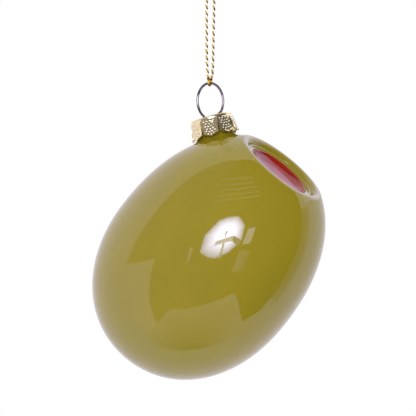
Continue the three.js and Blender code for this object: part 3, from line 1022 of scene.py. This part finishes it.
# %% [markdown]
# The hanger. One length of spring wire is bent to an oval ring with two legs that pass through
# the cap and spring open in the neck. A tree sweeps a circle along its line, and rounds nothing:
# the ends are cut square, as wire is.

# %% Hanger
WIRE_WIDTH = 0.8
RING_WIDTH, RING_LENGTH, RING_HEIGHT = 8.6, 12.2, 11.6
RING_TILT = math.radians(13.2)
LEG_STRAIGHT, LEG_END, LEG_SPLAY = CAP_TOP - 6.5, CAP_TOP - 12.5, 7.2


def ring_point(angle):
    x = RING_WIDTH / 2 * math.sin(angle)
    y = RING_HEIGHT - RING_LENGTH / 2 * (1 - math.cos(angle))
    return Vector(
        (
            x * math.cos(RING_TILT) + y * math.sin(RING_TILT),
            CAP_TOP + y * math.cos(RING_TILT) - x * math.sin(RING_TILT),
            0,
        )
    )


def leg_points(side):
    inner, outer = side * LEG_SPACING / 2, side * LEG_SPLAY / 2
    return [
        Vector((outer, LEG_END, 0)),
        Vector(((inner + 2 * outer) / 3, (LEG_STRAIGHT + 2 * LEG_END) / 3, 0)),
        Vector(((3 * inner + outer) / 4, (2 * LEG_STRAIGHT + LEG_END) / 3, 0)),
        Vector((inner, LEG_STRAIGHT, 0)),
        Vector((inner, (LEG_STRAIGHT + CAP_TOP) / 2, 0)),
        Vector((inner, CAP_TOP - 0.35, 0)),
    ]


ring_points = [ring_point(math.pi * (2 * i / 32 - 1)) for i in range(1, 32)]
ring_points = [p for p in ring_points if p.y > CAP_TOP + 0.7]
wire_points = [*leg_points(-1), *ring_points, *reversed(leg_points(1))]
wire_line = [cap_frame @ (p * MM) for p in smooth_line(wire_points, 10)]

drawn, given = new_tree("drawn_wire", {"Radius": ("NodeSocketFloat", WIRE_WIDTH / 2 * MM)})
line = drawn.node("GeometryNodeMeshToCurve", None, given["Geometry"])
circle = drawn.node("GeometryNodeCurvePrimitiveCircle", None, Resolution=20)
drawn.tree.links.new(given["Radius"].socket, circle.socket.node.inputs["Radius"])
swept = drawn.node("GeometryNodeCurveToMesh", None, line, circle)
swept.socket.node.inputs["Fill Caps"].default_value = True
end_tree(drawn, swept, hanger_steel)
hanger = grown(chain("hanger_wire", wire_line), drawn)
hanger.data.set_sharp_from_angle(angle=math.radians(50))
dress(hanger, "hanger", "steel_wire", "wire_hanger")

# %% [markdown]
# The studio. The photograph's gloss tells where its lights were: white walls and sweep all
# round the back, a dark room in front, a white card low on the left, and the edge of a white
# table in front. Each is a card that only reflections see, placed by its direction from the
# ornament: degrees round from the camera, and above level. The dish mirrors a brighter part of
# the back wall. The even light on the colours comes from the white world and one soft lamp.


# %% Cards for the reflections
def toward(turn, rise):
    turn, rise = math.radians(turn), math.radians(rise)
    level = to_camera * math.cos(turn) + to_right * math.sin(turn)
    return level * math.cos(rise) + to_top * math.sin(rise)


room_middle = Vector((0, 0, -90 * MM))
COOL_WHITE = (1.0, 0.97, 1.12, 1.0)


def glow_card(name, rows, distance, strength, far_strength=None, tint=COOL_WHITE, bend=1):
    """A glowing card over rows of directions, seen by reflections alone."""
    points = [room_middle + toward(*spot) * distance for row in rows for spot in row]
    width = len(rows[0])
    faces = [
        (i * width + k, i * width + k + 1, (i + 1) * width + k + 1, (i + 1) * width + k)
        for i in range(len(rows) - 1)
        for k in range(width - 1)
    ]
    card = mesh_object(name, points, faces)
    shares = [(k / (width - 1)) ** bend for _ in rows for k in range(width)]
    fade = card.data.attributes.new("fade", "FLOAT", "POINT")
    fade.data.foreach_set("value", shares)
    material, maker = empty_material(name)
    share = maker.node("ShaderNodeAttribute", {"attribute_name": "fade"}, out="Fac")
    end = strength if far_strength is None else far_strength
    power = share * (end - strength) + strength
    glow = maker.node("ShaderNodeEmission", None, tint, power)
    maker.node("ShaderNodeOutputMaterial", None, glow)
    card.data.materials.append(material)
    card.visible_camera = card.visible_diffuse = card.visible_shadow = False
    card.visible_transmission = card.visible_volume_scatter = False
    card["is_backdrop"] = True


def between(pairs, value):
    """A value on a line of (place, value) pairs."""
    for (a, low), (b, high) in zip(pairs, pairs[1:]):
        if value <= b:
            return low + (high - low) * max(0, (value - a) / (b - a))
    return pairs[-1][1]


TABLE_EDGE = [(-93, -52), (-60, -50), (-45, -42), (-36, -38), (-20, -43), (20, -45)]
TABLE_EDGE += [(33, -44), (45, -50), (60, -55), (80, -57), (93, -50)]
room_rows = []
for i in range(25):
    row = []
    for k in range(61):
        turn = -88 + 181 * k / 60
        low = between(TABLE_EDGE, turn)
        row.append((turn, low + (88 - low) * i / 24))
    room_rows.append(row)
glow_card("dark_room", room_rows, 2.6, 0.42, 0.05)


def quad(*corners, steps=8):
    """Rows of directions over a four-cornered card, from lower left, right, upper right, left."""
    a, b, c, d = [Vector(p) for p in corners]
    return [
        [tuple(a.lerp(b, k / steps).lerp(d.lerp(c, k / steps), i / steps)) for k in range(steps + 1)]
        for i in range(steps + 1)
    ]


back_rows = []
for i in range(13):
    rise = -60 + 107 * i / 12
    start = 93 + 12 * min(1, max(0, rise / 20))
    back_rows.append([(start + (268 - start) * k / 35, rise) for k in range(36)])
glow_card("back_sweep", back_rows, 2.7, 0.9, 1.05)
wall_light = quad((104, 46), (168, 46), (168, 15), (104, 15))
glow_card("back_glow", wall_light, 2.6, 1.4, tint=(1, 0.96, 1.25, 1))
table_rows = []
for k in range(61):
    turn = -90 + 182 * k / 60
    edge = between(TABLE_EDGE, turn)
    table_rows.append([(turn, edge - 0.2 - (edge + 88) * i / 12) for i in range(13)])
glow_card("table", table_rows, 2.65, 0.95, 0.3)
for rise in (37, 42, 48, 54, 61):
    strip = quad((-24, rise), (36, rise - 2), (36, rise - 1.2), (-24, rise + 1))
    glow_card(f"ceiling_{rise}", strip, 2.4, 0.9, 1.3)
for name, corners, distance, strength, far_strength in (
    ("room_corner", ((92, -42), (108, -42), (108, 12), (92, 12)), 2.5, 0.3, 0.6),
    ("left_card", ((-91, -52), (-57, -49), (-57, 6), (-88, 7)), 2.4, 1.1, None),
    ("side_window", ((19, -8), (27, -9), (30, 4.5), (22, 4.5)), 2.2, 2.6, None),
    ("side_panel", ((17, -28), (29, -29), (29, -14), (18, -13)), 2.2, 1.0, 0.45),
    ("left_strip", ((-28, -8), (-25.5, -8), (-26, 1.5), (-29.5, 3)), 2.2, 1.3, 0.9),
):
    glow_card(name, quad(*corners), distance, strength, far_strength)
print("cards ready")

# %% [markdown]
# The large round softbox by the camera is the brightest card. It fades to its rim, and the
# camera on its stand shows against it as a dark figure.

# %% Softbox
SOFT_RIM = [(-19.5, 8), (-19, -4), (-11, -10), (-4, -13), (7, -12), (13, -8), (17.5, -4)]
SOFT_RIM += [(18, 8), (14, 14), (9.5, 18.5), (-2, 19.5), (-10, 18)]
soft_middle = Vector((2, 6))
soft_rows = []
for i in range(9):
    share = i / 8
    soft_rows.append([tuple(soft_middle.lerp(Vector(p), share)) for p in [*SOFT_RIM, SOFT_RIM[0]]])
soft_columns = list(zip(*soft_rows))
glow_card("softbox", soft_columns, 2.1, 18.0, 2.6, (1.0, 1.04, 1.5, 1.0), 1.6)
for name, corners, strength in (
    ("camera_body", ((-8, -2.5), (9, -3), (8, 1.5), (-7, 0.6)), 5.0),
    ("camera_arm", ((8, -3), (15, -8.5), (18, -4.5), (8.5, 1.4)), 1.2),
    ("camera_flash", ((0.3, 1.4), (1.1, 1.4), (2.0, 7.0), (-0.6, 7.0)), 4.0),
    ("camera_stand", ((-0.3, -14), (1.6, -14), (1.4, -3), (-0.2, -3)), 2.5),
):
    glow_card(name, quad(*corners), 1.9, strength)
print("softbox ready")

# %% [markdown]
# The world is white to the eye and to reflections, and a little below full white to the
# surfaces that it lights, so that the key lamp has room to model the form.

# %% World, floor and key lamp
WORLD_LIGHT = 0.78
world = bpy.data.worlds.new("white_studio")
scene.world = world
world.use_nodes = True
world.node_tree.nodes.clear()
maker = Maker(world.node_tree)
rays = maker.node("ShaderNodeLightPath", out="Is Camera Ray")
seen = rays
for name in ("Is Glossy Ray", "Is Transmission Ray"):
    seen = maker.node("ShaderNodeMath", {"operation": "MAXIMUM"}, seen, maker.other(rays, name))
lights = maker.node("ShaderNodeBackground", None, (1, 1, 1, 1), WORLD_LIGHT)
shows = maker.node("ShaderNodeBackground", None, (1, 1, 1, 1), 1.0)
sky = maker.node("ShaderNodeMixShader", None, seen, lights, shows)
maker.node("ShaderNodeOutputWorld", None, sky)

FLOOR_DEPTH, FLOOR_HALF = 0.34, 3.0
corners = [(-FLOOR_HALF, -FLOOR_HALF), (FLOOR_HALF, -FLOOR_HALF)]
corners += [(FLOOR_HALF, FLOOR_HALF), (-FLOOR_HALF, FLOOR_HALF)]
floor = mesh_object("floor", [(x, y, -FLOOR_DEPTH) for x, y in corners], [(0, 1, 2, 3)])
floor_paint, maker = empty_material("floor_paint")
shade(maker, Base_Color=(0.98, 0.98, 0.98, 1), Roughness=0.9)
floor.data.materials.append(floor_paint)
floor.visible_glossy = False
floor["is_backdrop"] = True

key = linked("key_lamp", bpy.data.lights.new("key_lamp", "AREA"))
key.data.shape = "DISK"
key.data.size = 0.9
key.data.energy = 9.0
key.location = room_middle + toward(-12, 28) * 1.6
key.rotation_euler = (room_middle - key.location).to_track_quat("-Z", "Y").to_euler()
key.visible_glossy = False
key.visible_camera = False
print("world, floor and key lamp ready")

# %% [markdown]
# The dressed model's box, without the floor and the backdrop cards, is printed.

# %% Sizes and finish
low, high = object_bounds()
print("visual box", [round(x, 4) for x in [*low, *high]])
